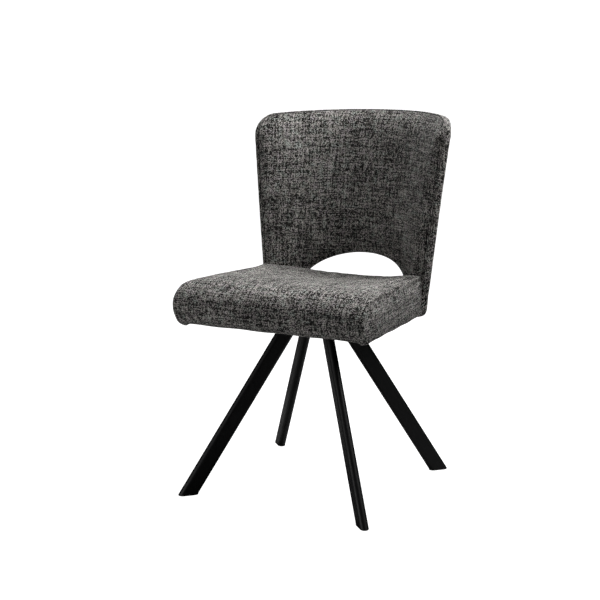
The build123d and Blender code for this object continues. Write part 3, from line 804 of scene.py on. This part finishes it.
class Nodes:
    """Short calls for adding and joining shader nodes."""

    def __init__(self, tree):
        self.tree = tree

    def add(self, kind, **settings):
        """A node with its settings."""
        node = self.tree.nodes.new(kind)
        for name, value in settings.items():
            setattr(node, name, value)
        return node

    def feed(self, into, value):
        """Joins an output to an input, or sets the input's value."""
        if isinstance(value, bpy.types.NodeSocket):
            self.tree.links.new(value, into)
        else:
            into.default_value = value

    def maths(self, operation, *values, clamp=False):
        """A Math node's result."""
        node = self.add("ShaderNodeMath", operation=operation, use_clamp=clamp)
        for into, value in zip(node.inputs, values):
            self.feed(into, value)
        return node.outputs[0]

    def noise(self, vector, scale, detail=2.0, roughness=0.5, dimensions="3D"):
        """A noise value from 0 to 1."""
        node = self.add("ShaderNodeTexNoise", noise_dimensions=dimensions)
        self.feed(node.inputs["Vector"], vector)
        node.inputs["Scale"].default_value = scale
        node.inputs["Detail"].default_value = detail
        node.inputs["Roughness"].default_value = roughness
        return node.outputs["Fac"]

    def chance(self, x, y, z=0.0):
        """A value by chance, from 0 to 1, for each set of three whole numbers."""
        node = self.add("ShaderNodeTexWhiteNoise", noise_dimensions="3D")
        self.feed(node.inputs["Vector"], self.vector(x, y, z))
        return node.outputs["Value"]

    def vector(self, x, y, z=0.0):
        """A vector from three values."""
        node = self.add("ShaderNodeCombineXYZ")
        for into, value in zip(node.inputs, (x, y, z)):
            self.feed(into, value)
        return node.outputs[0]

    def ramp(self, value, stops):
        """A colour from a value by colour stops (place, colour)."""
        node = self.add("ShaderNodeValToRGB")
        self.feed(node.inputs["Fac"], value)
        marks = node.color_ramp.elements
        while len(marks) < len(stops):
            marks.new(0.5)
        for mark, (place, shade) in zip(marks, stops):
            mark.position = place
            mark.color = shade
        return node.outputs["Color"]

    def spread(self, value, low, high, to_low=0.0, to_high=1.0):
        """A value spread from one range to another, held within it."""
        node = self.add("ShaderNodeMapRange", clamp=True)
        for into, number in zip(node.inputs, (value, low, high, to_low, to_high)):
            self.feed(into, number)
        return node.outputs[0]


def weave_group():
    """Plain weave of uneven melange yarns: which yarn shows, its tone and its height."""
    if "plain_weave" in bpy.data.node_groups:
        return bpy.data.node_groups["plain_weave"]
    group = bpy.data.node_groups.new("plain_weave", "ShaderNodeTree")
    socket(group, "Vector", "NodeSocketVector")
    socket(group, "Spacing", "NodeSocketFloat", default=0.002)
    socket(group, "Tone", "NodeSocketFloat", into=False)
    socket(group, "Height", "NodeSocketFloat", into=False)
    n = Nodes(group)
    inputs, outputs = n.add("NodeGroupInput"), n.add("NodeGroupOutput")
    split = n.add("ShaderNodeSeparateXYZ")
    n.feed(split.inputs[0], inputs.outputs["Vector"])
    drift = n.noise(inputs.outputs["Vector"], 30.0, 2.0)
    waver = n.maths("MULTIPLY", n.maths("SUBTRACT", drift, 0.5), 0.0007)
    u = n.maths("DIVIDE", n.maths("ADD", split.outputs[0], waver), inputs.outputs["Spacing"])
    v = n.maths("DIVIDE", n.maths("SUBTRACT", split.outputs[1], waver), inputs.outputs["Spacing"])
    column, row = n.maths("FLOOR", u), n.maths("FLOOR", v)

    def lengths(run, number, size, seed):
        """A chance tone for each length of fibre along a yarn, about this many yarns long."""
        start = n.maths("MULTIPLY", n.chance(number, seed), 31.0)
        uneven = n.noise(n.vector(n.maths("MULTIPLY", run, 0.4 / size), number, seed), 1.0, 0.0)
        place = n.maths("ADD", n.maths("DIVIDE", run, size), n.maths("ADD", start, uneven))
        return n.chance(n.maths("FLOOR", place), number, seed)

    def yarn(run, number, seed):
        """Tone of one yarn along its run: long slubs, dashes and short flecks."""
        slub = lengths(run, number, 24.0, seed)
        dash = lengths(run, number, 5.0, seed + 5)
        fleck = lengths(run, number, 1.4, seed + 9)
        mixed = n.maths("ADD", n.maths("MULTIPLY", slub, 0.36), n.maths("MULTIPLY", dash, 0.16))
        return n.maths("ADD", mixed, n.maths("MULTIPLY", fleck, 0.48))

    def swell(value):
        """Round back of a yarn between its two edges."""
        return n.maths("SINE", n.maths("MULTIPLY", n.maths("FRACT", value), math.pi))

    over = n.maths("PINGPONG", n.maths("ADD", column, row), 1.0)
    tone = n.add("ShaderNodeMix", data_type="FLOAT")
    n.feed(tone.inputs[0], over)
    n.feed(tone.inputs[2], yarn(u, row, 3.0))
    n.feed(tone.inputs[3], yarn(v, column, 47.0))
    fuzz = n.noise(inputs.outputs["Vector"], 2600.0, 2.0, 0.7)
    n.feed(outputs.inputs["Tone"], n.maths("ADD", tone.outputs[0], n.maths("MULTIPLY", fuzz, 0.12)))
    cross = n.maths("SQRT", n.maths("MULTIPLY", swell(u), swell(v)))
    relief = n.maths("ADD", n.maths("MULTIPLY", cross, 0.7), n.maths("MULTIPLY", fuzz, 0.5))
    n.feed(outputs.inputs["Height"], n.maths("ADD", relief, n.maths("MULTIPLY", tone.outputs[0], 0.6)))
    return group


def material(name):
    """A new material with its node calls and its Principled shader."""
    made = bpy.data.materials.new(name)
    made.use_nodes = True
    shader = made.node_tree.nodes["Principled BSDF"]
    return made, Nodes(made.node_tree), shader


def tweed():
    """Dark melange tweed of black, grey and off-white yarns."""
    if "melange_tweed" in bpy.data.materials:
        return bpy.data.materials["melange_tweed"]
    made, n, shader = material("melange_tweed")
    c = colours()
    place = n.add("ShaderNodeUVMap", uv_map="cloth").outputs[0]
    weave = n.add("ShaderNodeGroup", node_tree=weave_group())
    n.feed(weave.inputs["Vector"], place)
    n.feed(weave.inputs["Spacing"], sizes().yarn)
    patch = n.maths("MULTIPLY", n.maths("SUBTRACT", n.noise(place, 14.0, 2.0), 0.5), 0.10)
    tone = n.maths("ADD", weave.outputs["Tone"], patch)
    shade = n.ramp(tone, [(0.0, c.dark_yarn), (0.50, c.dark_yarn), (0.61, c.mid_yarn), (0.76, c.light_yarn)])
    hue = n.ramp(n.noise(place, 60.0, 2.0), [(0.36, (0.93, 1.0, 0.96, 1)), (0.5, (1.0, 0.98, 0.94, 1)),
                                              (0.64, (1.0, 0.95, 0.98, 1))])
    tinted = n.add("ShaderNodeMix", data_type="RGBA", blend_type="MULTIPLY")
    tinted.inputs[0].default_value = 1
    n.feed(tinted.inputs[6], shade)
    n.feed(tinted.inputs[7], hue)
    # Painted shade: the tweed's colour is darkened along the pressed seams, standing in for the shade that
    # falls in the creases.
    crease = n.add("ShaderNodeAttribute", attribute_name="crease").outputs["Fac"]
    painted_crease_shade = n.add("ShaderNodeMix", data_type="RGBA", blend_type="MULTIPLY")
    n.feed(painted_crease_shade.inputs[0], n.maths("MULTIPLY", crease, 0.85))
    n.feed(painted_crease_shade.inputs[6], tinted.outputs[2])
    n.feed(painted_crease_shade.inputs[7], (0.12, 0.11, 0.10, 1))
    n.feed(shader.inputs["Base Color"], painted_crease_shade.outputs[2])
    n.feed(shader.inputs["Roughness"], 0.95)
    n.feed(shader.inputs["Sheen Weight"], 0.06)
    n.feed(shader.inputs["Sheen Roughness"], 0.5)
    n.feed(shader.inputs["Specular IOR Level"], 0.15)
    bump = n.add("ShaderNodeBump")
    n.feed(bump.inputs["Strength"], 0.8)
    n.feed(bump.inputs["Distance"], 0.0007)
    n.feed(bump.inputs["Height"], weave.outputs["Height"])
    n.feed(shader.inputs["Normal"], bump.outputs[0])
    return made


def lining():
    """Black spun lining: matt, with fine embossed dots and a few loose fibres."""
    made, n, shader = material("spun_lining")
    place = n.add("ShaderNodeTexCoord").outputs["Object"]
    dots = n.add("ShaderNodeTexVoronoi")
    n.feed(dots.inputs["Vector"], place)
    dots.inputs["Scale"].default_value = 620
    fibre = n.noise(place, 900.0, 4.0, 0.7)
    c = colours().lining
    loose_fibre = tuple(v * 2.2 for v in c[:3]) + (1,)
    n.feed(shader.inputs["Base Color"], n.ramp(fibre, [(0.35, c), (0.75, loose_fibre)]))
    n.feed(shader.inputs["Roughness"], 0.85)
    bump = n.add("ShaderNodeBump")
    n.feed(bump.inputs["Strength"], 0.5)
    n.feed(bump.inputs["Distance"], 0.0004)
    n.feed(bump.inputs["Height"], n.maths("ADD", dots.outputs["Distance"], n.maths("MULTIPLY", fibre, 0.4)))
    n.feed(shader.inputs["Normal"], bump.outputs[0])
    return made


def powder_coat():
    """Matt black powder coat with a fine orange peel."""
    made, n, shader = material("powder_coat")
    place = n.add("ShaderNodeTexCoord").outputs["Object"]
    peel = n.noise(place, 900.0, 3.0, 0.6)
    cloud = n.noise(place, 14.0, 2.0)
    n.feed(shader.inputs["Base Color"], colours().coat)
    n.feed(shader.inputs["Specular IOR Level"], 0.25)
    n.feed(shader.inputs["Roughness"], n.spread(cloud, 0.3, 0.7, 0.40, 0.52))
    bump = n.add("ShaderNodeBump")
    n.feed(bump.inputs["Strength"], 0.25)
    n.feed(bump.inputs["Distance"], 0.0002)
    n.feed(bump.inputs["Height"], peel)
    n.feed(shader.inputs["Normal"], bump.outputs[0])
    return made


def grained(name, shade, roughness, scale, metallic=0.0, stretch=(1, 1, 1)):
    """A plain finish with a fine grain in its colour, roughness and surface."""
    made, n, shader = material(name)
    place = n.add("ShaderNodeTexCoord").outputs["Object"]
    mapping = n.add("ShaderNodeMapping")
    n.feed(mapping.inputs["Vector"], place)
    mapping.inputs["Scale"].default_value = stretch
    grain = n.noise(mapping.outputs[0], scale, 4.0, 0.6)
    dark = tuple(v * 0.7 for v in shade[:3]) + (1,)
    light = tuple(min(v * 1.25, 1) for v in shade[:3]) + (1,)
    n.feed(shader.inputs["Base Color"], n.ramp(grain, [(0.3, dark), (0.7, light)]))
    n.feed(shader.inputs["Roughness"], n.spread(grain, 0.3, 0.7, roughness - 0.08, roughness + 0.08))
    n.feed(shader.inputs["Metallic"], metallic)
    bump = n.add("ShaderNodeBump")
    n.feed(bump.inputs["Strength"], 0.2)
    n.feed(bump.inputs["Distance"], 0.0002)
    n.feed(bump.inputs["Height"], grain)
    n.feed(shader.inputs["Normal"], bump.outputs[0])
    return made


def finish_nodes(made, *names):
    """Gives the named frame nodes this material."""
    for name in names:
        node = frame["nodes"][name]
        node.data.materials.clear()
        node.data.materials.append(made)


class CHAIR_OT_metal(bpy.types.Operator):
    """Finish the legs, hub, swivel and fasteners"""

    bl_idname = "chair.metal"
    bl_label = "Metalwork finishes"

    def execute(self, context):
        c = colours()
        legs = [name for name in frame["nodes"] if name.startswith("leg_")]
        finish_nodes(powder_coat(), *legs, "hub_plate")
        finish_nodes(grained("zinc_plate", c.zinc, 0.38, 420.0, 1.0), "swivel_lower_plate",
                     "swivel_upper_plate", "base_bolts", "base_nuts", "pivot_pin", "pivot_washer",
                     "pivot_nut", "seat_bolts", "seat_washers", "tee_nuts", "staples", "rail_screws",
                     "back_bolts")
        glides = [name for name in frame["nodes"] if name.startswith("glide_")]
        finish_nodes(grained("glide_plastic", c.plastic, 0.6, 700.0), *glides)
        finish_nodes(grained("nylon", (0.7, 0.69, 0.65), 0.45, 500.0), "bearing_ring", "pivot_bush")
        finish_nodes(grained("plywood", (0.50, 0.35, 0.20), 0.7, 60.0, stretch=(1, 6, 30)), "seat_board",
                     "back_rail")
        return {"FINISHED"}


def floor_finish():
    """A pale floor, evenly lit to the eye, that throws little light back up."""
    made, n, shader = material("pale_floor")
    place = n.add("ShaderNodeTexCoord").outputs["Object"]
    n.feed(shader.inputs["Base Color"], n.ramp(n.noise(place, 6.0), [(0, (0.24, 0.24, 0.24, 1)),
                                                                     (1, (0.27, 0.27, 0.27, 1))]))
    n.feed(shader.inputs["Roughness"], 0.8)
    glow = n.add("ShaderNodeEmission")
    n.feed(glow.inputs["Strength"], 1.15)
    mix = n.add("ShaderNodeMixShader")
    n.feed(mix.inputs[0], n.add("ShaderNodeLightPath").outputs["Is Camera Ray"])
    n.feed(mix.inputs[1], shader.outputs[0])
    both = n.add("ShaderNodeAddShader")
    n.feed(both.inputs[0], shader.outputs[0])
    n.feed(both.inputs[1], glow.outputs[0])
    n.feed(mix.inputs[2], both.outputs[0])
    n.feed(made.node_tree.nodes["Material Output"].inputs["Surface"], mix.outputs[0])
    return made


def studio_room():
    """White walls to the eye, dim ones to the object."""
    world = bpy.data.worlds.new("studio room")
    world.use_nodes = True
    n = Nodes(world.node_tree)
    dim = world.node_tree.nodes["Background"]
    dim.inputs["Color"].default_value = (1, 1, 1, 1)
    dim.inputs["Strength"].default_value = bpy.context.scene.chair_light.room
    bright = n.add("ShaderNodeBackground")
    n.feed(bright.inputs["Color"], (1, 1, 1, 1))
    n.feed(bright.inputs["Strength"], 1.1)
    mix = n.add("ShaderNodeMixShader")
    n.feed(mix.inputs[0], n.add("ShaderNodeLightPath").outputs["Is Camera Ray"])
    n.feed(mix.inputs[1], dim.outputs[0])
    n.feed(mix.inputs[2], bright.outputs[0])
    n.feed(world.node_tree.nodes["World Output"].inputs["Surface"], mix.outputs[0])
    return world


def hang(name, place, aim, size, power):
    """Hangs a square soft lamp and turns it to what it lights."""
    lamp = bpy.data.lights.new(name, "AREA")
    lamp.energy, lamp.size = power, size
    made = bpy.data.objects.new(name, lamp)
    made.location = place
    made.rotation_euler = (Vector(aim) - Vector(place)).to_track_quat("-Z", "Y").to_euler()
    bpy.context.collection.objects.link(made)


class CHAIR_OT_stage(bpy.types.Operator):
    """Lay the floor, hang the lights and set up the camera"""

    bl_idname = "chair.stage"
    bl_label = "Floor, lights and camera"

    def execute(self, context):
        clear_selection()
        bpy.ops.mesh.primitive_plane_add(size=30)
        floor = settle(context.object, "floor")
        floor.data.materials.append(floor_finish())
        context.scene.world = studio_room()
        c = context.scene.chair_light
        hang("overhead", (0.2, 0.8, 2.1), (0, 0, 0.5), 1.2, c.overhead)
        hang("side", (1.5, 0.2, 1.9), (0, 0, 0.5), 1.0, c.side)
        hang("fill", (-1.5, -2.3, 0.40), (0, 0, 0.6), 1.6, c.fill)

        yaw, pitch = math.radians(27.73), math.radians(10.52)
        back = Vector((math.sin(yaw) * math.cos(pitch), -math.cos(yaw) * math.cos(pitch), math.sin(pitch)))
        camera = bpy.data.cameras.new("camera")
        camera.lens, camera.sensor_width = 72.73, 36
        eye = bpy.data.objects.new("camera", camera)
        context.collection.objects.link(eye)
        eye.rotation_mode = "QUATERNION"
        eye.rotation_quaternion = (-back).to_track_quat("-Z", "Y")
        eye.location = Vector((1.2664, -2.4975 + AXIS.y, 0.9656))
        context.scene.camera = eye
        context.scene.view_settings.view_transform = "Standard"
        return {"FINISHED"}


class CHAIR_PT_panel(bpy.types.Panel):
    """Lists the chair's sizes, colours and steps"""

    bl_idname = "CHAIR_PT_panel"
    bl_label = "Dining chair"
    bl_space_type = "VIEW_3D"
    bl_region_type = "UI"
    bl_category = "Chair"

    def draw(self, context):
        for group in (context.scene.chair_sizes, context.scene.chair_colours, context.scene.chair_light):
            for name in group.__annotations__:
                self.layout.prop(group, name)
        for step in STEPS:
            self.layout.operator(step.bl_idname)


STEPS = (CHAIR_OT_stage, CHAIR_OT_back, CHAIR_OT_back_welt, CHAIR_OT_seat, CHAIR_OT_dust_sheet,
         CHAIR_OT_metal)
CLASSES = (ChairSizes, ChairColours, ChairLight, *STEPS, CHAIR_PT_panel)


def register():
    """Registers the add-on's classes and its two property groups."""
    for made in CLASSES:
        bpy.utils.register_class(made)
    bpy.types.Scene.chair_sizes = PointerProperty(type=ChairSizes)
    bpy.types.Scene.chair_colours = PointerProperty(type=ChairColours)
    bpy.types.Scene.chair_light = PointerProperty(type=ChairLight)


def unregister():
    """Takes them out again."""
    del bpy.types.Scene.chair_sizes
    del bpy.types.Scene.chair_colours
    del bpy.types.Scene.chair_light
    for made in reversed(CLASSES):
        bpy.utils.unregister_class(made)


def main():
    """Builds the chair, step by step."""
    register()
    for step in STEPS:
        area, call = step.bl_idname.split(".")
        getattr(getattr(bpy.ops, area), call)()


if __name__ == "__main__":
    main()
